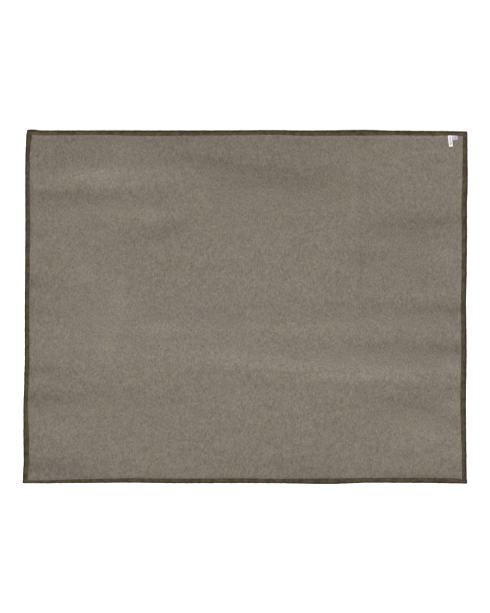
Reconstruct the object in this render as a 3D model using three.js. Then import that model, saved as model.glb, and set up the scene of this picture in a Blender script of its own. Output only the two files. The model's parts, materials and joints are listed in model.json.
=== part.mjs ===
// Camp blanket: one rectangle of thick fulled cloth, bound on its four sides with folded tape.
//
// Millimetres. The blanket lies face up on flat ground: +X runs along its long side, +Y towards
// its head, +Z up. The origin is on the ground under the middle of the blanket.

import * as THREE from 'three';

// Finished size, over the binding.
const LENGTH = 1905;
const WIDTH = 1524;

// Cloth. It is pressed thinner where the binding's two flaps squeeze it.
const CLOTH_THICKNESS = 3;
const SEAM_CLOTH_THICKNESS = 2.2;
const CLOTH_RAMP = 10; // how far in from the binding the cloth takes to come down to the ground

// Binding: a tape folded round the raw edge, with a mitre at each corner.
const BINDING_WIDTH = 21.5;
const TAPE_THICKNESS = 1;

// Lockstitch that closes the binding, one thread on the face and one on the back.
const STITCH_MARGIN = 2.5; // from the binding's inner edge to the middle of the stitches
const THREAD_WIDTH = 0.5;
const THREAD_HEIGHT = 0.3;

// Clearance between pieces that lie on each other.
const GAP = 0.3;

// Labels, caught under the head binding. A label's middle is given where it leaves the binding.
const LABEL_THICKNESS = 0.4;
const LABEL_ROOT_GAP = 0.4; // from the binding's inner edge to where a label hinges
const CARE_LABEL = { name: 'care_label', middle: 876.5, width: 17, length: 46, lean: 6 };
const SIZE_LABEL = { name: 'size_label', middle: 897.5, width: 23, length: 17, lean: 14 };

// Heights, from the ground up.
const LOWER_FLAP = THREAD_HEIGHT + GAP;
const SEAM_CLOTH = LOWER_FLAP + TAPE_THICKNESS + GAP;
const SEAM_CLOTH_TOP = SEAM_CLOTH + SEAM_CLOTH_THICKNESS;
const UPPER_FLAP = SEAM_CLOTH_TOP + GAP;
const BINDING_TOP = UPPER_FLAP + TAPE_THICKNESS;
const NEEDLE_THREAD = BINDING_TOP + GAP;

// The tape's fold is half a circle, and the cloth's raw edge stops short of it.
const FOLD_RADIUS = (BINDING_TOP - LOWER_FLAP) / 2;
const CLOTH_EDGE = FOLD_RADIUS;
const RAMP_START = BINDING_WIDTH + LABEL_ROOT_GAP;

// The four sides. reach is from the middle of the blanket out to that side, half is half of the
// side's own length, and turn brings a side built along +Y round to its place.
const SIDES = [
  { name: 'head', reach: WIDTH / 2, half: LENGTH / 2, turn: 0 },
  { name: 'left', reach: LENGTH / 2, half: WIDTH / 2, turn: Math.PI / 2 },
  { name: 'foot', reach: WIDTH / 2, half: LENGTH / 2, turn: Math.PI },
  { name: 'right', reach: LENGTH / 2, half: WIDTH / 2, turn: -Math.PI / 2 },
];

function material(color, roughness) {
  return new THREE.MeshStandardMaterial({ color, roughness, metalness: 0 });
}

function piece(name, geometry, pieceMaterial) {
  geometry.computeVertexNormals();
  const mesh = new THREE.Mesh(geometry, pieceMaterial);
  mesh.name = name;
  return mesh;
}

// Moves every vertex of a geometry to where place(vector) puts it.
function reshape(geometry, place) {
  const position = geometry.getAttribute('position');
  const vector = new THREE.Vector3();
  for (let i = 0; i < position.count; i += 1) {
    vector.fromBufferAttribute(position, i);
    place(vector);
    position.setXYZ(i, vector.x, vector.y, vector.z);
  }
  return geometry;
}

// Lines across the cloth where its section changes, from one edge to the other.
function clothLines(size) {
  const half = size / 2;
  const insets = [CLOTH_EDGE, RAMP_START, RAMP_START + CLOTH_RAMP];
  const low = insets.map((inset) => inset - half);
  const high = insets.map((inset) => half - inset).reverse();
  return [...low, ...high];
}

// Lies flat on the ground inside, and rises to run between the binding's flaps at the edge.
function bodyCloth() {
  const linesX = clothLines(LENGTH);
  const linesY = clothLines(WIDTH);
  const cellsX = linesX.length - 1;
  const cellsY = linesY.length - 1;
  const geometry = new THREE.BoxGeometry(cellsX, cellsY, 1, cellsX, cellsY, 1);
  return reshape(geometry, (v) => {
    const column = Math.round(v.x + cellsX / 2);
    const row = Math.round(v.y + cellsY / 2);
    const isTop = v.z > 0;
    const fromEdge = Math.min(column, cellsX - column, row, cellsY - row);
    const insideRamp = fromEdge >= 2;
    const bottom = insideRamp ? 0 : SEAM_CLOTH;
    const top = insideRamp ? CLOTH_THICKNESS : SEAM_CLOTH_TOP;
    v.set(linesX[column], linesY[row], isTop ? top : bottom);
  });
}

// Runs a section along one side, with a mitre at both ends. The section's x is the distance in
// from the blanket's edge and its y is the height.
function mitredStrip(section, side) {
  const geometry = new THREE.ExtrudeGeometry(section, {
    depth: 1,
    steps: 1,
    bevelEnabled: false,
    curveSegments: 8,
  });
  const mitreGap = GAP / Math.SQRT2;
  reshape(geometry, (v) => {
    const end = v.z > 0.5 ? -1 : 1;
    const inset = v.x;
    v.set(end * (side.half - inset - mitreGap), side.reach - inset, v.y);
  });
  return geometry.rotateZ(side.turn);
}

// The tape in section: a lower flap, the fold round the raw edge, and an upper flap.
function tapeSection() {
  const section = new THREE.Shape();
  const middle = LOWER_FLAP + FOLD_RADIUS;
  const innerRadius = FOLD_RADIUS - TAPE_THICKNESS;
  section.moveTo(BINDING_WIDTH, LOWER_FLAP);
  section.lineTo(BINDING_WIDTH, LOWER_FLAP + TAPE_THICKNESS);
  section.lineTo(FOLD_RADIUS, LOWER_FLAP + TAPE_THICKNESS);
  section.absarc(FOLD_RADIUS, middle, innerRadius, -Math.PI / 2, -Math.PI * 1.5, true);
  section.lineTo(BINDING_WIDTH, UPPER_FLAP);
  section.lineTo(BINDING_WIDTH, BINDING_TOP);
  section.lineTo(FOLD_RADIUS, BINDING_TOP);
  section.absarc(FOLD_RADIUS, middle, FOLD_RADIUS, Math.PI / 2, Math.PI * 1.5, false);
  section.closePath();
  return section;
}

// A row of stitches in section: a flat bar along the stitch line, on the face or on the back.
function threadSection(bottom) {
  const middle = BINDING_WIDTH - STITCH_MARGIN;
  const low = middle - THREAD_WIDTH / 2;
  const high = middle + THREAD_WIDTH / 2;
  const section = new THREE.Shape();
  section.moveTo(low, bottom);
  section.lineTo(high, bottom);
  section.lineTo(high, bottom + THREAD_HEIGHT);
  section.lineTo(low, bottom + THREAD_HEIGHT);
  section.closePath();
  return section;
}

// A ribbon that leaves the binding, comes down the cloth's ramp and lies along the cloth. Its
// section is drawn lengthwise, with x the distance from the hinge and y the height.
function label({ middle, width, length, lean }) {
  const rootHeight = SEAM_CLOTH_TOP + GAP;
  const lyingHeight = CLOTH_THICKNESS + GAP;
  const section = new THREE.Shape();
  section.moveTo(0, rootHeight);
  section.lineTo(CLOTH_RAMP, lyingHeight);
  section.lineTo(length, lyingHeight);
  section.lineTo(length, lyingHeight + LABEL_THICKNESS);
  section.lineTo(CLOTH_RAMP, lyingHeight + LABEL_THICKNESS);
  section.lineTo(0, rootHeight + LABEL_THICKNESS);
  section.closePath();
  const geometry = new THREE.ExtrudeGeometry(section, { depth: width, bevelEnabled: false });
  const hingeY = WIDTH / 2 - BINDING_WIDTH - LABEL_ROOT_GAP;
  const slope = Math.tan(THREE.MathUtils.degToRad(lean));
  return reshape(geometry, (v) => {
    const along = v.x;
    v.set(middle + width / 2 - v.z + along * slope, hingeY - along, v.y);
  });
}

const clothMaterial = material('#81796e', 0.95);
const tapeMaterial = material('#54493a', 0.8);
const threadMaterial = material('#4a4031', 0.7);
const careLabelMaterial = material('#ebe9ee', 0.45);
const sizeLabelMaterial = material('#d8d4e4', 0.45);

const blanket = new THREE.Group();
blanket.add(piece('body_cloth', bodyCloth(), clothMaterial));
for (const side of SIDES) {
  blanket.add(piece(`binding_${side.name}`, mitredStrip(tapeSection(), side), tapeMaterial));
  const needle = mitredStrip(threadSection(NEEDLE_THREAD), side);
  blanket.add(piece(`needle_thread_${side.name}`, needle, threadMaterial));
  const bobbin = mitredStrip(threadSection(0), side);
  blanket.add(piece(`bobbin_thread_${side.name}`, bobbin, threadMaterial));
}
blanket.add(piece(CARE_LABEL.name, label(CARE_LABEL), careLabelMaterial));
blanket.add(piece(SIZE_LABEL.name, label(SIZE_LABEL), sizeLabelMaterial));

export default blanket;
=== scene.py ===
"""A camp blanket laid out flat: marled cloth, folded tape binding, lockstitches and two labels.

Every piece is built flat, in the row frame, which is the CAD model's own. Then laid() carries it
on to the shape of the blanket as it lies, so that cloth, tape, thread and labels keep touching.
Lengths are in metres.
"""

import json
import math

import bpy
import numpy as np
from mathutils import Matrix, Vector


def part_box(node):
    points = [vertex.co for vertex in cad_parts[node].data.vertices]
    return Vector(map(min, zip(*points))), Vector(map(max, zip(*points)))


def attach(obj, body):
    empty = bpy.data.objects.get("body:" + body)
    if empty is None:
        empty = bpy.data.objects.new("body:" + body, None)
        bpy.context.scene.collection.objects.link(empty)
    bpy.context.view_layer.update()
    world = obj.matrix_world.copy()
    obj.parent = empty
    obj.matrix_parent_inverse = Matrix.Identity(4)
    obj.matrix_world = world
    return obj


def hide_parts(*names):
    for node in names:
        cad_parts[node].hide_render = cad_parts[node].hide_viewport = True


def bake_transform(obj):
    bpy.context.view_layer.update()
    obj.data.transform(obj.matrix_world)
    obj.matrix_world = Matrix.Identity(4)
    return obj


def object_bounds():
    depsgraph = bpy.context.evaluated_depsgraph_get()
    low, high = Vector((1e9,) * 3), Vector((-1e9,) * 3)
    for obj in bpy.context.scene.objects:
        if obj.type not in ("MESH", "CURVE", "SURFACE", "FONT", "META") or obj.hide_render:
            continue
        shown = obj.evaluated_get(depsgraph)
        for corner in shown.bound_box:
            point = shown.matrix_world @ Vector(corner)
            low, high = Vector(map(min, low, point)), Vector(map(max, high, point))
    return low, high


MM = 0.001

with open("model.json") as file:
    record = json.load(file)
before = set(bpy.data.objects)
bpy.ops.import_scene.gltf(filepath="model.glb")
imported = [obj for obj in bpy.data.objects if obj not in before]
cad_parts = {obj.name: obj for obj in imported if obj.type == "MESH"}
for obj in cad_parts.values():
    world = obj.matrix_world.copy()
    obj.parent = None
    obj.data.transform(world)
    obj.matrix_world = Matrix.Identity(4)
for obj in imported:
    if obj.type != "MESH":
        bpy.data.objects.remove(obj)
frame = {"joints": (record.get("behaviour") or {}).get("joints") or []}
CAD_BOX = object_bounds()


# ---------------------------------------------------------------- sizes, from the frame

def node_box(name):
    low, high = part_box(name)
    return np.array(low), np.array(high)


HALF_X, HALF_Y = float(CAD_BOX[1][0]), float(CAD_BOX[1][1])
HEAD_LOW, HEAD_HIGH = node_box("binding_head")
CLOTH_LOW, CLOTH_HIGH = node_box("body_cloth")
THREAD_LOW, THREAD_HIGH = node_box("needle_thread_head")

BINDING_WIDTH = float(HEAD_HIGH[1] - HEAD_LOW[1])
BINDING_MIDDLE = float(HEAD_HIGH[2] + HEAD_LOW[2]) / 2
STITCH_INSET = HALF_Y - float(THREAD_LOW[1] + THREAD_HIGH[1]) / 2
RAW_EDGE = HALF_Y - float(CLOTH_HIGH[1])
SEAM_TOP = float(CLOTH_HIGH[2])
SEAM_BOTTOM = 2 * BINDING_MIDDLE - SEAM_TOP
HINGES = {joint["child"]: np.array(joint["pos_m"]) for joint in frame["joints"]}

# As in the CAD model. The cloth's box doesn't give it, because the edge is held off the ground.
CLOTH_THICKNESS = 3.0 * MM


# ---------------------------------------------------------------- how the blanket lies

# Each side as it lies: (place along the side, how far it strays outwards from a straight line,
# width of its binding), in mm. The place is the x or the y of the row frame.
EDGES = {
    "head": [
        (-952, 1.6, 21.5), (-925, 2.0, 23), (-890, -1.6, 21.5), (-640, -1.6, 19.8),
        (-480, -1.6, 24), (-110, -1.4, 22.2), (110, -0.1, 20.6), (250, -1.8, 23.2),
        (520, 0.5, 25), (630, -2.6, 20.2), (800, -3.9, 20.8), (880, -4.4, 19.6),
        (952, -5.8, 20.5),
    ],
    "left": [
        (-762, 9.8, 22), (-735, 7.8, 21.5), (-660, 4.8, 24.5), (-560, 6.0, 25.5),
        (-430, 5.6, 18.8), (-330, 2.6, 20.4), (-220, 0.0, 21), (0, 0.0, 20.4),
        (200, -1.7, 20.4), (340, -2.4, 21.6), (560, -2.0, 19.6), (650, -2.6, 19.8),
        (700, -5.0, 22), (730, -6.0, 25), (762, -9.6, 26),
    ],
    "foot": [
        (-952, -1.2, 13), (-850, -1.0, 13), (-740, -2.0, 17), (-500, -3.8, 19.5),
        (-280, -1.3, 21), (0, -1.8, 21.4), (110, -1.4, 20), (350, 2.0, 24.5),
        (550, -3.6, 21.5), (760, -2.7, 22.5), (900, -0.6, 22.5), (952, 0.8, 18),
    ],
    "right": [
        (-762, 3.7, 21.5), (-735, 0.0, 20.6), (-650, -0.8, 20.5), (-540, -2.2, 22.6),
        (-420, -2.9, 25), (-170, -0.2, 24), (20, -2.4, 22.8), (160, 0.4, 23),
        (320, 1.9, 23.8), (430, 1.8, 25), (560, 4.8, 24.4), (680, 3.6, 21.6),
        (762, 3.4, 19.5),
    ],
}
STRAY, WIDTH = 1, 2  # the columns of those lists

# Ripples, as the shade that they give across the face, in percent of its mean brightness:
# (middle x, middle y, half length, half width, shade), in mm. They run along X, unless a sixth
# number turns them, in degrees. Their slopes are worked out from their shade.
# What their slopes don't give is painted into the cloth's colour as painted shade.
RIPPLES = [
    # along the head
    (-250, 735, 480, 30, -11),
    (-850, 665, 120, 45, -7),
    (-590, 572, 150, 26, 17),
    (270, 672, 130, 30, -8),
    (-600, 520, 130, 18, 7),
    (60, 525, 170, 12, -5),
    (20, 590, 240, 44, -15, -11),
    (330, 560, 90, 30, -6),
    (-830, 482, 330, 19, -14),
    # above the middle
    (-790, 440, 110, 16, -7),
    (-480, 398, 130, 22, 10),
    (-340, 330, 115, 24, -12, 18),
    (740, 360, 190, 24, -14, 5),
    (760, 300, 110, 20, -5),
    (640, 196, 120, 26, -4),
    (250, 235, 190, 12, -3),
    (760, 60, 190, 12, 5),
    (90, 255, 260, 60, 5),
    (110, 85, 260, 45, 5),
    # across the middle
    (880, -8, 100, 21, -13),
    (560, -8, 190, 24, -5),
    (0, -95, 520, 27, 9),
    (600, -92, 150, 20, 4),
    (-720, -165, 110, 16, 5),
    (870, -180, 115, 19, -16),
    (600, -165, 90, 24, -6),
    (-190, -205, 310, 38, 10),
    (420, -280, 220, 29, 19, -4),
    (40, -250, 160, 24, 5),
    # towards the foot
    (-905, -275, 80, 24, -12),
    (-890, -400, 120, 27, -17),
    (-640, -372, 130, 24, -4),
    (660, -250, 90, 25, 5),
    (-310, -396, 110, 12, -6),
    (720, -412, 120, 30, -8),
    (600, -335, 110, 9, -5),
    (700, -268, 130, 15, 5),
    (760, -545, 110, 36, 10),
    (30, -420, 170, 60, 4),
    (-870, -690, 170, 30, -17),
    (-600, -735, 190, 25, -9),
    (170, -700, 210, 38, -8),
    (760, -735, 130, 20, -10),
]

# Patches of painted shade, where the brushed nap lies another way, given as the ripples are.
PATCHES = [
    # along the head
    (-700, 728, 60, 14, -10),
    (470, 728, 60, 13, -9),
    (-685, 655, 60, 22, -9),
    (-250, 642, 90, 15, -7),
    (-840, 612, 120, 11, -8),
    # above the middle
    (700, 388, 190, 8, -6),
    (-910, 310, 45, 26, -8),
    (-785, 285, 45, 25, 5),
    (-828, 219, 42, 12, -8),
    (-925, 217, 20, 14, 9),
    (-700, 145, 45, 26, 9),
    (500, 226, 50, 26, -6),
    (870, 228, 45, 24, 9),
    (-915, 108, 60, 26, -14),
    # beside the two long creases
    (-542, 60, 22, 110, 4),
    (466, 470, 16, 150, 5),
    (500, 190, 16, 90, -5),
    # across the middle
    (-560, 20, 70, 50, 7),
    (-915, -5, 60, 30, -7),
    (-610, -150, 50, 60, 7),
    (-390, -85, 42, 24, 8),
    (240, -280, 120, 9, -7),
    # towards the foot
    (-350, -307, 60, 18, 8),
    (820, -350, 90, 9, -6),
    (880, -268, 40, 25, 9),
    (905, -430, 40, 28, 8),
    (760, -438, 130, 10, -6, -14),
    (925, -492, 45, 15, -9),
    (-840, -605, 50, 17, -8),
    (920, -625, 40, 22, 8),
    (910, -680, 50, 26, -8),
    (-540, -732, 55, 12, 9),
]

RELIEF_CELL = 6 * MM
RELIEF_LIMIT = 200 * MM  # shade that changes more slowly than this is painted shade, not a ripple's
RELIEF_GAIN = 1.33  # slope of the cloth that gives a shade of one, under the key light
RELIEF_SETTLE = 1.2 * MM  # how softly the troughs between ripples come down to the ground
RELIEF_TOP = 9.5 * MM  # no ripple comes up higher than this
RELIEF_SMOOTHING = 9 * MM
EDGE_LIFT = 0.45  # the binding keeps the edge lower: this share of the ripple's height
EDGE_REACH = 140 * MM
# how strongly the painted shade is laid into the cloth's colour
PAINTED_SHADE_STRENGTH = 1.31
LABEL_CLEARING = 60 * MM  # the cloth lies flat this far round the labels
LABEL_CLEARING_FADE = 190 * MM

# Creases left by folding: (place along X, from, to along Y, height, half width), in mm.
CREASES = [(484, -90, 690, 1.0, 9), (-538, -160, 260, 0.9, 10)]
CREASE_FADE = 90  # mm, at both ends


def smooth_step(value):
    value = np.clip(value, 0, 1)
    return value * value * (3 - 2 * value)


def edge_curve(side, column, at):
    """A column of a side's list at each place along it, easing from knot to knot."""
    places = np.array([knot[0] for knot in EDGES[side]]) * MM
    values = np.array([knot[column] for knot in EDGES[side]]) * MM
    at = np.clip(at, places[0], places[-1])
    after = np.clip(np.searchsorted(places, at), 1, len(places) - 1)
    before = after - 1
    share = smooth_step((at - places[before]) / (places[after] - places[before]))
    return values[before] * (1 - share) + values[after] * share


def drift(x, y):
    """How far each point has strayed in the ground plane."""
    share_x = (x / HALF_X + 1) / 2
    share_y = (y / HALF_Y + 1) / 2
    left, right = -edge_curve("left", STRAY, y), edge_curve("right", STRAY, y)
    foot, head = -edge_curve("foot", STRAY, x), edge_curve("head", STRAY, x)
    return left * (1 - share_x) + right * share_x, foot * (1 - share_y) + head * share_y


# The whole blanket is moved back by what the care label strays, so that its hinge stays in place.
LABEL_PLACE = HINGES["care_label"]
STRAY_X, STRAY_Y = (float(v[0]) for v in drift(LABEL_PLACE[:1], LABEL_PLACE[1:2]))


def band_shade(bands, x, y):
    """The sum of the bands at each point, as a share of the mean brightness."""
    total = np.zeros_like(x)
    for middle_x, middle_y, half_length, half_width, shade, *turned in bands:
        turn = math.radians(turned[0]) if turned else 0.0
        along = (x / MM - middle_x) * math.cos(turn) + (y / MM - middle_y) * math.sin(turn)
        across = (y / MM - middle_y) * math.cos(turn) - (x / MM - middle_x) * math.sin(turn)
        fall = (along / half_length) ** 2 + (across / half_width) ** 2
        total += shade / 100 * np.exp(-fall / 2)
    return total


def blurred(field, reach, cell):
    """field, smoothed by a Gaussian of that reach along both axes, with its borders held."""
    count = int(3 * reach / cell)
    kernel = np.exp(-np.linspace(-3, 3, 2 * count + 1) ** 2 / 2)
    kernel /= kernel.sum()
    for axis in (0, 1):
        margins = [(0, 0), (0, 0)]
        margins[axis] = (count, count)
        padded = np.pad(field, margins, mode="edge")
        field = np.apply_along_axis(np.convolve, axis, padded, kernel, mode="valid")
    return field


def make_relief():
    """The cloth's height over the ground on a grid, and the painted shade: what its slopes don't
    give.
    """
    grid_x = np.arange(-HALF_X, HALF_X + RELIEF_CELL, RELIEF_CELL)
    grid_y = np.arange(-HALF_Y, HALF_Y + RELIEF_CELL, RELIEF_CELL)
    x, y = np.meshgrid(grid_x, grid_y, indexing="ij")
    shade = band_shade(RIPPLES, x, y)
    ripples = shade - blurred(shade, RELIEF_LIMIT / 2, RELIEF_CELL)
    height = np.cumsum(ripples * RELIEF_GAIN, axis=1) * RELIEF_CELL
    height -= blurred(height, RELIEF_LIMIT, RELIEF_CELL)
    height = RELIEF_SETTLE * np.logaddexp(0, height / RELIEF_SETTLE)
    height = RELIEF_TOP * np.tanh(height / RELIEF_TOP)
    height = blurred(height, RELIEF_SMOOTHING, RELIEF_CELL)
    height -= height.min()
    distance = np.hypot(x - LABEL_PLACE[0], y - LABEL_PLACE[1])
    height *= smooth_step((distance - LABEL_CLEARING) / LABEL_CLEARING_FADE)
    inset = np.minimum(HALF_X - np.abs(x), HALF_Y - np.abs(y))
    height *= EDGE_LIFT + (1 - EDGE_LIFT) * smooth_step(inset / EDGE_REACH)
    given = np.gradient(height, RELIEF_CELL, axis=1) / RELIEF_GAIN
    for place, start, end, rise, half_width in CREASES:
        ridge = rise * MM * np.exp(-((x / MM - place) / half_width) ** 2 / 2)
        ridge *= smooth_step((y / MM - start) / CREASE_FADE)
        ridge *= smooth_step((end - y / MM) / CREASE_FADE)
        height += ridge
    # painted shade for the cloth's colour: the ripples' shade that the slopes don't give, and the
    # patches'
    painted_shade = shade + band_shade(PATCHES, x, y) - given
    return grid_x, grid_y, height, painted_shade * PAINTED_SHADE_STRENGTH


GRID_X, GRID_Y, RELIEF, PAINTED_SHADE = make_relief()


def read_grid(field, x, y):
    """field at each point, by bilinear interpolation."""
    just_over_one = 1.001  # keeps the last point inside the last cell
    u = np.clip((x - GRID_X[0]) / RELIEF_CELL, 0, len(GRID_X) - just_over_one)
    v = np.clip((y - GRID_Y[0]) / RELIEF_CELL, 0, len(GRID_Y) - just_over_one)
    i, j = u.astype(int), v.astype(int)
    u, v = u - i, v - j
    low = field[i, j] * (1 - u) + field[i + 1, j] * u
    high = field[i, j + 1] * (1 - u) + field[i + 1, j + 1] * u
    return low * (1 - v) + high * v


def laid(points):
    """Points of the flat blanket, carried on to where they lie."""
    x, y, z = np.asarray(points, float).T
    stray_x, stray_y = drift(x, y)
    lift = read_grid(RELIEF, x, y)
    return np.stack([x + stray_x - STRAY_X, y + stray_y - STRAY_Y, z + lift], axis=1)


# ---------------------------------------------------------------- meshes

def waves(at, wavelengths, seed):
    """A smooth wander along a line, mostly between -1 and 1, the same on every run."""
    random = np.random.RandomState(seed)
    total = np.zeros_like(np.asarray(at, float))
    for wavelength in wavelengths:
        total += np.cos(2 * math.pi * (at / (wavelength * MM) + random.rand()))
    return total / math.sqrt(len(wavelengths))


def new_piece(name, points, faces, attributes=()):
    """A mesh object from flat points, laid in place, with one float attribute for each pair."""
    mesh = bpy.data.meshes.new(name)
    mesh.from_pydata(laid(points).tolist(), [], faces)
    mesh.validate()
    mesh.update()
    mesh.polygons.foreach_set("use_smooth", [True] * len(mesh.polygons))
    for attribute, values in attributes:
        layer = mesh.attributes.new(attribute, "FLOAT", "POINT")
        layer.data.foreach_set("value", np.asarray(values, np.float32))
    piece = bpy.data.objects.new(name, mesh)
    bpy.context.scene.collection.objects.link(piece)
    return piece


def quads(rows, columns, first=0, closed_columns=False):
    """Faces over a grid of points stored row by row, facing along rows x columns."""
    i = np.arange(rows - 1)[:, None]
    j = np.arange(columns if closed_columns else columns - 1)[None, :]
    a = i * columns + j
    b = (i + 1) * columns + j
    c = (i + 1) * columns + (j + 1) % columns
    d = i * columns + (j + 1) % columns
    return (np.stack([a, b, c, d], axis=-1).reshape(-1, 4) + first).tolist()


def slab_faces(rows, columns):
    """Faces of a closed slab: a grid of points for its top, and then one for its underside."""
    under = rows * columns
    faces = quads(rows, columns)
    faces += [face[::-1] for face in quads(rows, columns, first=under)]
    ring = [i * columns for i in range(rows)]
    ring += [(rows - 1) * columns + j for j in range(1, columns)]
    ring += [i * columns + columns - 1 for i in range(rows - 2, -1, -1)]
    ring += [j for j in range(columns - 2, 0, -1)]
    faces += [[a + under, b + under, b, a] for a, b in zip(ring, ring[1:] + ring[:1])]
    return faces


# ---------------------------------------------------------------- cloth

CLOTH_PITCH = 8.6 * MM
CLOTH_RISE = 13 * MM  # over this width the cloth comes up off the ground to meet the binding
RISE_GAP = 0.4 * MM  # from the binding to where the cloth starts to come down
PUCKER_START = 1 * MM  # this far under the binding
PUCKER_RISE = 6 * MM
PUCKER_REACH = 16 * MM
PUCKER_HEIGHT = 0.22 * MM
RUFFLE_HEIGHT = 0.1 * MM  # away from the seam
CORNER_EASE = 6 * MM  # how far from equal two distances are still eased together
EDGE_LINES = np.array([0, 4, 8, 12, 15.5, 18, 19.5, 21, 23, 25.5, 28.5, 32, 36, 42]) * MM


def cloth_lines(half):
    """Grid lines across the cloth, closer together beside the binding."""
    edge = half - RAW_EDGE - EDGE_LINES
    middle = edge[-1]
    count = int(round(2 * middle / CLOTH_PITCH))
    inner = np.linspace(-middle, middle, count + 1)[1:-1]
    return np.concatenate([-edge, inner, edge[::-1]])


def edge_inset(x, y):
    """The distance in from the nearest side, and the width of the binding there.

    Both are eased where two sides are equally near.
    """
    near, far = HALF_X - np.abs(x), HALF_Y - np.abs(y)
    overlap = np.clip(0.5 + (near - far) / (2 * CORNER_EASE), 0, 1)
    inset = near * (1 - overlap) + far * overlap - CORNER_EASE * overlap * (1 - overlap)
    beside = np.where(x > 0, edge_curve("right", WIDTH, y), edge_curve("left", WIDTH, y))
    above = np.where(y > 0, edge_curve("head", WIDTH, x), edge_curve("foot", WIDTH, x))
    return inset, beside * (1 - overlap) + above * overlap


def cloth_faces(x, y):
    """The heights of the underside and of the face, on the flat blanket."""
    inset, width = edge_inset(x, y)
    inside = smooth_step((inset - width - RISE_GAP) / CLOTH_RISE)
    bottom = SEAM_BOTTOM * (1 - inside)
    top = SEAM_TOP * (1 - inside) + CLOTH_THICKNESS * inside
    from_seam = np.clip(inset - width, 0, None)
    pucker = np.exp(-from_seam / PUCKER_REACH)
    pucker *= smooth_step((inset - width + PUCKER_START) / PUCKER_RISE)
    ruffle = waves(x, (41, 57, 83), 3) * waves(y, (43, 61, 79), 4)
    return bottom, top + PUCKER_HEIGHT * pucker * ruffle + RUFFLE_HEIGHT * inside * ruffle


def make_cloth():
    lines_x, lines_y = cloth_lines(HALF_X), cloth_lines(HALF_Y)
    rows, columns = len(lines_x), len(lines_y)
    x, y = (a.ravel() for a in np.meshgrid(lines_x, lines_y, indexing="ij"))
    bottom, top = cloth_faces(x, y)
    points = np.concatenate([np.stack([x, y, top], 1), np.stack([x, y, bottom], 1)])
    # the painted shade goes with the cloth, in its shade attribute
    shade = 1 + read_grid(PAINTED_SHADE, points[:, 0], points[:, 1])
    return new_piece("blanket_cloth", points, slab_faces(rows, columns), [("shade", shade)])


# ---------------------------------------------------------------- binding

FOLD_REACH = 3.0 * MM
STITCH_PITCH = 3.3 * MM
TAPE_STEP = STITCH_PITCH / 2
LOWEST = 0.05 * MM  # where the binding rests on the ground

SIDES = ["head", "left", "foot", "right"]  # in turn, each a quarter further round
REACH = {"head": HALF_Y, "left": HALF_X, "foot": HALF_Y, "right": HALF_X}
HALF = {"head": HALF_X, "left": HALF_Y, "foot": HALF_X, "right": HALF_Y}
PLACE_SIGN = {"head": -1, "left": -1, "foot": 1, "right": 1}  # a side's along, as x or y


def turned(along, inset, height, side):
    """Points given along a side, in from its edge and up, in the row frame."""
    x, y = -along, REACH[side] - inset
    for _ in range(SIDES.index(side)):
        x, y = -y, x
    return np.stack([x, y, height], axis=-1)


def binding_width(side, along):
    return edge_curve(side, WIDTH, PLACE_SIGN[side] * along)


def mitre_slopes(side):
    """How far the mitre runs along the side for each metre in, at its two ends."""
    order = SIDES.index(side)
    before, after = SIDES[order - 1], SIDES[(order + 1) % 4]
    start, end = np.array([-1.0]), np.array([1.0])
    first = binding_width(before, end * HALF[before]) / binding_width(side, start * HALF[side])
    last = binding_width(after, start * HALF[after]) / binding_width(side, end * HALF[side])
    return float(first[0]), float(last[0])


# Half the binding's height at places in from the fold, in mm: full near the fold, pressed down
# by the stitches, and rounded over at the inner edge. Then the same for the tape's inner face.
GROOVE = 2.02
TAPE_CROWN = [
    (3.0, 2.36), (5, 2.5), (8, 2.56), (11, 2.5), (14, 2.38), (16.5, 2.22),
    (18, 2.08), (19, GROOVE), (20, 2.12), (20.7, 2.16), (21.2, 2.05), (21.5, 1.76),
]
TAPE_LINING = [(21.3, 1.42), (19, 1.4), (12, 1.65), (6, 1.75), (2.4, 1.5), (1.0, 0.7)]


def tape_outline():
    """The section of the folded tape as (inset, height from the middle), all the way round."""
    crown = [(t * MM, h * MM) for t, h in TAPE_CROWN]
    fold_height = crown[0][1]
    arc = [math.radians(a) for a in range(90, -1, -15)]
    fold = [(FOLD_REACH * (1 - math.cos(a)), fold_height * math.sin(a)) for a in arc]
    upper = crown[::-1] + fold[1:]
    lower = [(t, -h) for t, h in upper[-2::-1]]
    inside = [(t * MM, h * MM) for t, h in TAPE_LINING]
    return np.array(upper + lower + [(t, -h) for t, h in inside] + inside[::-1])[::-1]


CORNER_ROUNDING = 0.8 * MM
CORNER_REACH = 7 * MM
INNER_WANDER = 0.4 * MM
FOLD_WANDER = 0.3 * MM
CROWN_WANDER = 0.11
WANDER_FADE = 60 * MM  # how far from a corner the tape's own wander is back at full strength
MITRE_GAP = 0.12 * MM
MITRE_REACH = 2.5 * MM
MITRE_HEIGHT = 0.8  # the tape is pressed to this share of its height at the mitre
GROOVE_REACH = 1.3 * MM
GROOVE_PULSE = 0.05  # how much further each stitch presses the tape down, as a share
DRAG_HEIGHT = 0.05 * MM  # of the slanting wrinkles that the seam pulls in the tape
DRAG_SLANT = 0.9


def tape_wander(side, along):
    """How the inner edge, the fold and the crown change along a side."""
    seed = 20 + 10 * SIDES.index(side)
    inner = INNER_WANDER * waves(along, (31, 58, 104), seed)
    fold = FOLD_WANDER * waves(along, (27, 49, 88), seed + 1)
    crown = CROWN_WANDER * waves(along, (9, 17, 26, 47, 90), seed + 2)
    return inner, fold, crown


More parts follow.
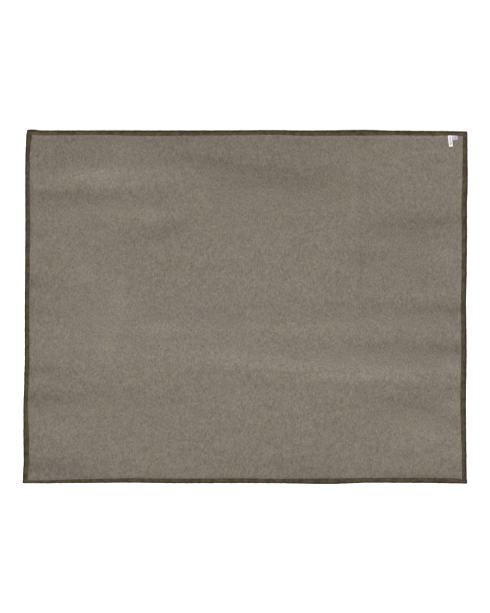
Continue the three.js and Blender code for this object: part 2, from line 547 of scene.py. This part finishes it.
def tape_place(side, share, inset, height):
    """Carries section points to places along a side. share runs from -1 to 1 along it."""
    half = HALF[side]
    across = inset / BINDING_WIDTH
    along = share * (half - inset)
    inner, fold, crown = tape_wander(side, along)
    from_end = half - np.abs(along)
    away = smooth_step((from_end - BINDING_WIDTH) / WANDER_FADE)
    placed = across * binding_width(side, along) + inner * across ** 2 * away
    placed = placed - fold * (1 - across) ** 2 * away
    corner = np.exp(-((from_end - inset) / CORNER_REACH) ** 2)
    placed = placed + CORNER_ROUNDING * corner * (1 - across) ** 3
    slope = np.where(share < 0, *mitre_slopes(side))
    along = share * (half - placed * slope - MITRE_GAP)
    swell = 1 + crown * np.sin(math.pi * np.clip(across, 0, 1)) * away
    stitched = np.exp(-((inset - STITCH_INSET) / GROOVE_REACH) ** 2)
    pulse = (1 + np.cos(2 * math.pi * along / STITCH_PITCH)) / 2
    pressed = 1 - GROOVE_PULSE * stitched * pulse
    drag = DRAG_HEIGHT * waves(along + DRAG_SLANT * inset, (7.3, 11, 19), 5) * np.sign(height)
    mitre = smooth_step((from_end - inset) / MITRE_REACH)
    mitred = MITRE_HEIGHT + (1 - MITRE_HEIGHT) * mitre
    raised = height * swell * pressed * mitred + drag * np.sin(math.pi * across)
    return turned(along, placed, np.clip(BINDING_MIDDLE + raised, LOWEST, None), side)


def make_binding(side):
    outline = tape_outline()
    half = HALF[side]
    rows = int(round(2 * half / TAPE_STEP)) + 1
    share = np.linspace(-1, 1, rows)[:, None]
    inset, height = outline[:, 0][None, :], outline[:, 1][None, :]
    points = tape_place(side, share, inset + 0 * share, height + 0 * share).reshape(-1, 3)
    columns = len(outline)
    faces = quads(rows, columns, closed_columns=True)
    faces.append(list(range(columns)))
    faces.append([(rows - 1) * columns + j for j in range(columns - 1, -1, -1)])
    across = outline[:, 0] / BINDING_WIDTH
    around = np.sign(outline[:, 1]) * outline[:, 0] + outline[:, 1] * (1 - across)
    attributes = [
        ("across", np.tile(across, rows)),  # in from the fold, as a share of the width
        ("around", np.tile(around, rows)),  # across the whole tape, from its middle at the fold
        ("along", np.repeat(share[:, 0] * half, columns)),
    ]
    return new_piece(f"tape_{side}", points, faces, attributes)


# ---------------------------------------------------------------- stitches

THREAD_RADIUS = 0.24 * MM
THREAD_THINNEST = 0.55  # where the thread is pulled into its hole, as a share of its radius
THREAD_SUNK = 0.2 * MM  # from the groove's face down to where a stitch's arch starts
STITCH_ARCH = 0.3 * MM
ARCH_START = 0.08  # a stitch's arch is half a wave, less this share at both ends
STITCH_LENGTH = 0.88  # over the pitch, which leaves a hole at both ends
STITCH_SPREAD = 0.05 * MM  # how unevenly the machine sews
END_MARGIN = 0.5 * MM
STITCH_RINGS = 6
THREAD_SIDES = 6


def stitch_template():
    """One stitch as rings of points: (share along it, out sideways, height) and its faces."""
    rings = []
    for step in range(STITCH_RINGS):
        share = step / (STITCH_RINGS - 1)
        arch = math.sin(math.pi * (ARCH_START + (1 - 2 * ARCH_START) * share))
        radius = THREAD_RADIUS * (THREAD_THINNEST + (1 - THREAD_THINNEST) * arch)
        for k in range(THREAD_SIDES):
            turn = -2 * math.pi * k / THREAD_SIDES
            height = radius * math.sin(turn) + STITCH_ARCH * arch
            rings.append((share, radius * math.cos(turn), height))
    faces = quads(STITCH_RINGS, THREAD_SIDES, closed_columns=True)
    faces.append(list(range(THREAD_SIDES)))
    last = (STITCH_RINGS - 1) * THREAD_SIDES
    faces.append([last + k for k in range(THREAD_SIDES - 1, -1, -1)])
    return np.array(rings), faces


def make_stitches(side, on_face):
    """The row of stitches along one side, above the tape or below it."""
    template, template_faces = stitch_template()
    half = HALF[side] - STITCH_INSET
    count = int(2 * half / STITCH_PITCH)
    random = np.random.RandomState(70 + SIDES.index(side) + 10 * on_face)
    shift = 0 if on_face else 0.5
    start = (np.arange(count) + shift) * STITCH_PITCH - half
    start = start[(start > -half + END_MARGIN) & (start < half - STITCH_PITCH)]
    sideways = random.normal(0, STITCH_SPREAD, len(start))[:, None]
    slant = random.normal(0, STITCH_SPREAD, len(start))[:, None]
    share = template[None, :, 0]
    hole = (1 - STITCH_LENGTH) / 2
    along = start[:, None] + (hole + STITCH_LENGTH * share) * STITCH_PITCH
    inset = STITCH_INSET + sideways + slant * (share - 0.5) + template[None, :, 1]
    level = GROOVE * MM - THREAD_SUNK + template[None, :, 2]
    height = level if on_face else -level
    points = tape_place(side, along / half, inset, height).reshape(-1, 3)
    size = len(template)
    faces = []
    for index in range(len(start)):
        for face in template_faces:
            placed = [vertex + index * size for vertex in face]
            faces.append(placed if on_face else placed[::-1])
    name = ("needle" if on_face else "bobbin") + "_stitches_" + side
    return new_piece(name, points, faces)


# ---------------------------------------------------------------- labels

LABEL_TAIL = 9 * MM
LABEL_HALF_THICKNESS = 0.1 * MM
LABEL_OVER_SEAM = 0.14 * MM  # from the cloth up to the ribbon's middle, under the tape
LABEL_OVER_CLOTH = 0.5 * MM  # the same where it lies free
LABEL_DROP_START = 0.6 * MM  # from the hinge to where the ribbon starts to come down
LABEL_WAVE = 0.2 * MM
LABEL_WAVE_LENGTH = 5 * MM  # for each radian of the wave
LABEL_FREE = 12 * MM  # from the hinge to where the ribbon curls and waves freely
LABEL_BEND = 4 * MM
BEND_ROWS = (-2 * MM, LABEL_BEND + 1 * MM)  # rows of points are close together between these
BEND_ROW = 0.4 * MM
FREE_ROW = 1.2 * MM
TAIL_ROWS = 4
LABEL_COLUMNS = 15

# length, width, lean in degrees, lift of the free end, and how much the sides curl up
LABELS = {
    "care_label": (45.5 * MM, 17 * MM, 6, 2.2 * MM, 0.25 * MM),
    "size_label": (16 * MM, 22.5 * MM, 12, 1.6 * MM, 0.35 * MM),
}


def label_height(along, length, lift):
    """The middle of the ribbon's thickness: under the tape, down the cloth, and along it."""
    root = SEAM_TOP + LABEL_OVER_SEAM
    lying = CLOTH_THICKNESS + LABEL_OVER_CLOTH
    down = smooth_step((along - LABEL_DROP_START) / CLOTH_RISE)
    free = np.clip(along / length, 0, 1)
    return root * (1 - down) + lying * down + lift * free ** 3


def make_label(name):
    length, width, lean, lift, curl = LABELS[name]
    hinge = HINGES[name]
    bend_start, bend_end = BEND_ROWS
    lines = np.concatenate([
        np.linspace(-LABEL_TAIL, bend_start, TAIL_ROWS + 1)[:-1],
        np.arange(bend_start, bend_end, BEND_ROW),
        np.linspace(bend_end, length, int((length - bend_end) / FREE_ROW)),
    ])
    rows, columns = len(lines), LABEL_COLUMNS
    along, across = np.meshgrid(lines, np.linspace(-1, 1, columns), indexing="ij")
    free = smooth_step(along / LABEL_FREE)
    wave = LABEL_WAVE * np.sin(along / LABEL_WAVE_LENGTH + across)
    middle = label_height(along, length, lift) + free * (curl * across ** 2 + wave)
    turn = math.radians(lean)
    out_x, out_y = across * width / 2, -along
    x = hinge[0] + out_x * math.cos(turn) - out_y * math.sin(turn)
    y = hinge[1] + out_x * math.sin(turn) + out_y * math.cos(turn)
    upper = np.stack([x, y, middle + LABEL_HALF_THICKNESS], -1).reshape(-1, 3)
    lower = np.stack([x, y, middle - LABEL_HALF_THICKNESS], -1).reshape(-1, 3)
    lengthwise = np.tile((along / length).ravel(), 2)
    crosswise = np.tile((across / 2 + 0.5).ravel(), 2)
    face = np.repeat([1, 0], rows * columns)
    attributes = [("lengthwise", lengthwise), ("crosswise", crosswise), ("face", face)]
    points = np.concatenate([upper, lower])
    piece = new_piece(name + "_ribbon", points, slab_faces(rows, columns), attributes)
    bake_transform(piece)
    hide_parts(name)
    return piece


# ---------------------------------------------------------------- materials

class Shader:
    """A material whose nodes are added and linked by short calls."""

    def __init__(self, name, **surface):
        self.material = bpy.data.materials.new(name)
        self.material.use_nodes = True
        self.tree = self.material.node_tree
        self.surface = self.tree.nodes["Principled BSDF"]
        self.place = self.node("ShaderNodeTexCoord").outputs["Object"]
        for key, value in surface.items():
            self.surface.inputs[key.replace("_", " ")].default_value = value

    def node(self, kind, inputs=(), **settings):
        node = self.tree.nodes.new(kind)
        for key, value in settings.items():
            setattr(node, key, value)
        for key, value in dict(inputs).items():
            self.feed(node.inputs[key], value)
        return node

    def feed(self, socket, value):
        if isinstance(value, bpy.types.NodeSocket):
            self.tree.links.new(value, socket)
        else:
            socket.default_value = value

    def attribute(self, name):
        return self.node("ShaderNodeAttribute", attribute_name=name).outputs["Fac"]

    def math(self, operation, a, b=0.0):
        return self.node("ShaderNodeMath", {0: a, 1: b}, operation=operation).outputs[0]

    def noise(self, size, detail=2.0, roughness=0.5, stretch=(1, 1, 1)):
        """Noise whose lumps are about size across, in metres, longer along a stretched axis."""
        scaled = self.node(
            "ShaderNodeVectorMath", {0: self.place, 1: tuple(1 / s for s in stretch)},
            operation="MULTIPLY",
        ).outputs[0]
        return self.node(
            "ShaderNodeTexNoise",
            {"Vector": scaled, "Scale": 1 / size, "Detail": detail, "Roughness": roughness},
        ).outputs["Fac"]

    def spread(self, value, low, high, out_low=0.0, out_high=1.0):
        """value, taken from low..high to out_low..out_high and held there."""
        return self.node(
            "ShaderNodeMapRange",
            {
                "Value": value, "From Min": low, "From Max": high,
                "To Min": out_low, "To Max": out_high,
            },
        ).outputs[0]

    def near(self, value, middle, reach):
        """One where value is less than reach from middle, and zero elsewhere."""
        distance = self.math("ABSOLUTE", self.math("SUBTRACT", value, middle))
        return self.math("LESS_THAN", distance, reach)

    def mix(self, share, a, b, blend="MIX"):
        node = self.node("ShaderNodeMix", data_type="RGBA", blend_type=blend)
        self.feed(node.inputs["Factor"], share)
        self.feed(node.inputs[6], a)
        self.feed(node.inputs[7], b)
        return node.outputs[2]

    def scaled(self, colour, factor):
        node = self.node("ShaderNodeVectorMath", {0: colour}, operation="SCALE")
        self.feed(node.inputs["Scale"], factor)
        return node.outputs[0]

    def bump(self, height, distance, strength=1.0):
        normal = self.node(
            "ShaderNodeBump", {"Height": height, "Distance": distance, "Strength": strength}
        ).outputs[0]
        self.feed(self.surface.inputs["Normal"], normal)

    def colour(self, value):
        self.feed(self.surface.inputs["Base Color"], value)

    def roughness(self, value):
        self.feed(self.surface.inputs["Roughness"], value)


CLOTH_DARK = (0.1003, 0.0852, 0.0636, 1)
CLOTH_PALE = (0.2410, 0.2106, 0.1763, 1)
CLOTH_WARM = (1.02, 1.0, 0.95, 1)
PAINTED_SHADE_DARK_TINT = (1.012, 1.0, 0.987, 1)  # the painted shade is a little warmer where it is dark, and cooler where pale
PAINTED_SHADE_PALE_TINT = (0.992, 1.0, 1.010, 1)


def cloth_material():
    """Fulled marl: dark and pale fibres felted together, streaked a little lengthwise, with painted
    shade.
    """
    shader = Shader("marled_wool", Sheen_Weight=0.12, Sheen_Roughness=0.55, Specular_IOR_Level=0.2)
    hairs = shader.noise(0.9 * MM, detail=2, roughness=0.6, stretch=(0.6, 2.2, 1))
    fibres = shader.noise(2.4 * MM, detail=3, roughness=0.65, stretch=(0.8, 1.8, 1))
    flecks = shader.noise(6.6 * MM, detail=2, roughness=0.55, stretch=(0.85, 1.5, 1))
    mottle = shader.noise(26 * MM, detail=2, stretch=(1, 1.3, 1))
    streaks = shader.noise(36 * MM, detail=2, stretch=(4, 1, 1))
    warmth = shader.noise(120 * MM, detail=2)
    marl = shader.math("MULTIPLY", shader.math("ADD", fibres, flecks), 0.5)
    colour = shader.mix(shader.spread(marl, 0.33, 0.67), CLOTH_DARK, CLOTH_PALE)
    colour = shader.mix(shader.spread(warmth, 0.45, 0.70), colour, CLOTH_WARM, blend="MULTIPLY")
    # the painted shade, tinted warmer where it is dark
    painted_shade = shader.attribute("shade")
    tint = shader.mix(shader.spread(painted_shade, 0.88, 1.12), PAINTED_SHADE_DARK_TINT, PAINTED_SHADE_PALE_TINT)
    colour = shader.mix(1.0, colour, tint, blend="MULTIPLY")
    patch = shader.math("MULTIPLY", shader.spread(mottle, 0.3, 0.7, 0.96, 1.04),
                        shader.spread(streaks, 0.3, 0.7, 0.96, 1.04))
    hair = shader.spread(hairs, 0.3, 0.7, 0.86, 1.14)
    # the painted shade, with random patches and hairs, scales the colour
    shade = shader.math("MULTIPLY", painted_shade, shader.math("MULTIPLY", patch, hair))
    shader.colour(shader.scaled(colour, shade))
    shader.roughness(shader.spread(fibres, 0.3, 0.7, 0.88, 0.98))
    shader.bump(shader.math("ADD", hairs, shader.math("MULTIPLY", fibres, 0.9)), 0.55 * MM)
    return shader.material


TAPE_OLIVE = (0.074, 0.060, 0.028, 1)
TAPE_BROWN = (0.092, 0.063, 0.036, 1)
# dark blotches in the tape, and the painted shade round its fold
TAPE_DARK_AND_FOLD_SHADE = (0.010, 0.008, 0.004, 1)
TWILL_PITCH = 1.1 * MM


def tape_material():
    """Dark twill tape, mottled olive and brown, with painted shade darkest round the fold."""
    shader = Shader("binding_tape", Sheen_Weight=0.03, Sheen_Roughness=0.4, Specular_IOR_Level=0.15)
    across, along = shader.attribute("across"), shader.attribute("along")
    tint = shader.noise(44 * MM, detail=2)
    blotch = shader.noise(20 * MM, detail=2)
    yarn = shader.noise(1.2 * MM, detail=2)
    slant = shader.math("ADD", along, shader.attribute("around"))
    turn = shader.math("ADD", shader.math("MULTIPLY", slant, 2 * math.pi / TWILL_PITCH),
                       shader.math("MULTIPLY", yarn, 3.0))
    twill = shader.spread(shader.math("SINE", turn), -1, 1)
    colour = shader.mix(shader.spread(tint, 0.42, 0.58), TAPE_OLIVE, TAPE_BROWN)
    colour = shader.mix(shader.spread(blotch, 0.58, 0.38, 0.0, 0.45), colour, TAPE_DARK_AND_FOLD_SHADE)
    # painted shade round the fold, where the tape turns away from the light
    fold = shader.spread(across, 0.5, 0.0, 0.0, 0.95)
    colour = shader.mix(fold, colour, TAPE_DARK_AND_FOLD_SHADE)
    grain = shader.math("MULTIPLY", shader.spread(yarn, 0.3, 0.7, 0.85, 1.15),
                        shader.spread(twill, 0, 1, 0.84, 1.14))
    shader.colour(shader.scaled(colour, grain))
    shader.roughness(shader.spread(yarn, 0.3, 0.7, 0.7, 0.84))
    shader.bump(shader.math("ADD", twill, yarn), 0.18 * MM)
    return shader.material


THREAD_DARK = (0.040, 0.034, 0.022, 1)
THREAD_PALE = (0.098, 0.082, 0.056, 1)


def thread_material():
    """Polyester thread, with its twist as a fine grain."""
    shader = Shader("binding_thread", Specular_IOR_Level=0.4)
    twist = shader.noise(0.7 * MM, detail=1)
    shader.colour(shader.mix(twist, THREAD_DARK, THREAD_PALE))
    shader.roughness(shader.spread(twist, 0.3, 0.7, 0.5, 0.65))
    shader.bump(twist, 0.1 * MM)
    return shader.material


SHOW_THROUGH = 0.16  # how strongly the print shows on the ribbon's back
BAR_THICKNESS = 0.54  # of a printed bar, as a share of its line
BAR_AREA_WIDTH = 0.5  # of all the bars together, as a share of the ribbon's width
BAR_BREAKS = 9.0  # how finely the bars are broken up along the ribbon
CARE_WHITE = (0.81, 0.79, 0.80, 1)
CARE_INK = (0.24, 0.22, 0.31, 1)
SIZE_WHITE = (0.50, 0.475, 0.59, 1)
SIZE_INK = (0.18, 0.165, 0.31, 1)


def label_material(name, white, ink, first, last, rows):
    """Satin ribbon printed with plain bars that stand for lines of small print."""
    shader = Shader(name, Sheen_Weight=0.1, Specular_IOR_Level=0.5)
    lengthwise, crosswise = shader.attribute("lengthwise"), shader.attribute("crosswise")
    scaled_rows = shader.math("MULTIPLY", crosswise, rows)
    on_line = shader.near(shader.math("FRACT", scaled_rows), 0.5, BAR_THICKNESS / 2)
    in_width = shader.near(crosswise, 0.5, BAR_AREA_WIDTH / 2)
    in_length = shader.near(lengthwise, (first + last) / 2, (last - first) / 2)
    row_place = shader.node("ShaderNodeCombineXYZ", {
        "X": shader.math("MULTIPLY", lengthwise, BAR_BREAKS),
        "Y": shader.math("FLOOR", scaled_rows),
    }).outputs[0]
    breaks = shader.node(
        "ShaderNodeTexNoise", {"Vector": row_place, "Scale": 1.7}
    ).outputs["Fac"]
    printed = shader.math("MULTIPLY", shader.math("MULTIPLY", on_line, in_width), in_length)
    printed = shader.math("MULTIPLY", printed, shader.spread(breaks, 0.33, 0.36))
    shows = shader.spread(shader.attribute("face"), 0, 1, SHOW_THROUGH, 1)
    printed = shader.math("MULTIPLY", printed, shows)
    weave = shader.noise(0.6 * MM, detail=1)
    shader.colour(shader.mix(printed, white, ink))
    shader.roughness(shader.spread(weave, 0.3, 0.7, 0.38, 0.55))
    shader.bump(weave, 0.05 * MM)
    return shader.material


# ---------------------------------------------------------------- the blanket

cloth = make_cloth()
cloth.data.materials.append(cloth_material())
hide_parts("body_cloth")
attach(cloth, "blanket")

tape_look = tape_material()
thread_look = thread_material()
for side in SIDES:
    tape = make_binding(side)
    tape.data.materials.append(tape_look)
    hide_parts(f"binding_{side}")
    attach(tape, "blanket")
    for on_face, node in ((True, "needle_thread"), (False, "bobbin_thread")):
        row = make_stitches(side, on_face)
        row.data.materials.append(thread_look)
        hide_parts(f"{node}_{side}")
        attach(row, "blanket")

care_label = make_label("care_label")
care_label.data.materials.append(
    label_material("care_ribbon", CARE_WHITE, CARE_INK, first=0.04, last=0.82, rows=9)
)
size_label = make_label("size_label")
size_label.data.materials.append(
    label_material("size_ribbon", SIZE_WHITE, SIZE_INK, first=0.10, last=0.86, rows=6)
)


# ---------------------------------------------------------------- studio

FLOOR_SIZE = 60.0
FLOOR_COLOUR = (0.82, 0.82, 0.82, 1)
FLOOR_GLOW = 0.55  # a light table: its glow drowns the shadow that the blanket throws on it
KEY_ELEVATION = math.radians(36)
KEY_HEADING = math.radians(243)  # from +X, turning towards +Y: the light comes from foot and left
KEY_STRENGTH = 4.2
KEY_SOFTNESS = math.radians(30)
SKY_OVERHEAD = 0.42
SKY_HORIZON = 1.0
SKY_CHANGE = (0.05, 0.45)  # heights between which one gives way to the other, as a sine
LENS = 100.0
SENSOR = 36.0
VIEW_DEPTH = 200.0
BLANKET_SHARE = 0.902  # how much of the picture's width the blanket fills
AIM_X, AIM_Y = -2.8 * MM, 1.8 * MM  # the blanket lies a little off the picture's middle
PICTURE_HEIGHT = 1.251  # over its width


def make_floor():
    half = FLOOR_SIZE / 2
    mesh = bpy.data.meshes.new("floor")
    corners = [(-half, -half, 0), (half, -half, 0), (half, half, 0), (-half, half, 0)]
    mesh.from_pydata(corners, [], [(0, 1, 2, 3)])
    floor = bpy.data.objects.new("floor", mesh)
    bpy.context.scene.collection.objects.link(floor)
    shader = Shader(
        "pale_floor", Base_Color=FLOOR_COLOUR, Specular_IOR_Level=0.0, Roughness=1.0,
        Emission_Color=(1, 1, 1, 1), Emission_Strength=FLOOR_GLOW,
    )
    mesh.materials.append(shader.material)


def make_light():
    sun = bpy.data.lights.new("key", "SUN")
    sun.energy = KEY_STRENGTH
    sun.angle = KEY_SOFTNESS
    key = bpy.data.objects.new("key", sun)
    bpy.context.scene.collection.objects.link(key)
    key.rotation_euler = (0, math.pi / 2 - KEY_ELEVATION, KEY_HEADING)


def make_sky():
    """An even white studio: brighter low down, where its walls are, than overhead."""
    world = bpy.data.worlds.new("studio")
    bpy.context.scene.world = world
    world.use_nodes = True
    nodes, links = world.node_tree.nodes, world.node_tree.links
    background = nodes["Background"]
    place = nodes.new("ShaderNodeTexCoord")
    split = nodes.new("ShaderNodeSeparateXYZ")
    ramp = nodes.new("ShaderNodeMapRange")
    ramp.inputs["From Min"].default_value = SKY_CHANGE[0]
    ramp.inputs["From Max"].default_value = SKY_CHANGE[1]
    ramp.inputs["To Min"].default_value = SKY_HORIZON
    ramp.inputs["To Max"].default_value = SKY_OVERHEAD
    links.new(place.outputs["Generated"], split.inputs[0])
    links.new(split.outputs["Z"], ramp.inputs["Value"])
    links.new(ramp.outputs[0], background.inputs["Strength"])
    background.inputs["Color"].default_value = (1, 1, 1, 1)


def make_camera():
    picture_width = 2 * HALF_X / BLANKET_SHARE
    distance = picture_width * PICTURE_HEIGHT * LENS / SENSOR
    data = bpy.data.cameras.new("camera")
    data.lens = LENS
    data.sensor_width = SENSOR
    data.clip_end = VIEW_DEPTH
    camera = bpy.data.objects.new("camera", data)
    camera.location = (AIM_X - STRAY_X, AIM_Y - STRAY_Y, distance)
    bpy.context.scene.collection.objects.link(camera)
    bpy.context.scene.camera = camera


make_floor()
make_light()
make_sky()
make_camera()
bpy.context.scene.view_settings.view_transform = "Standard"
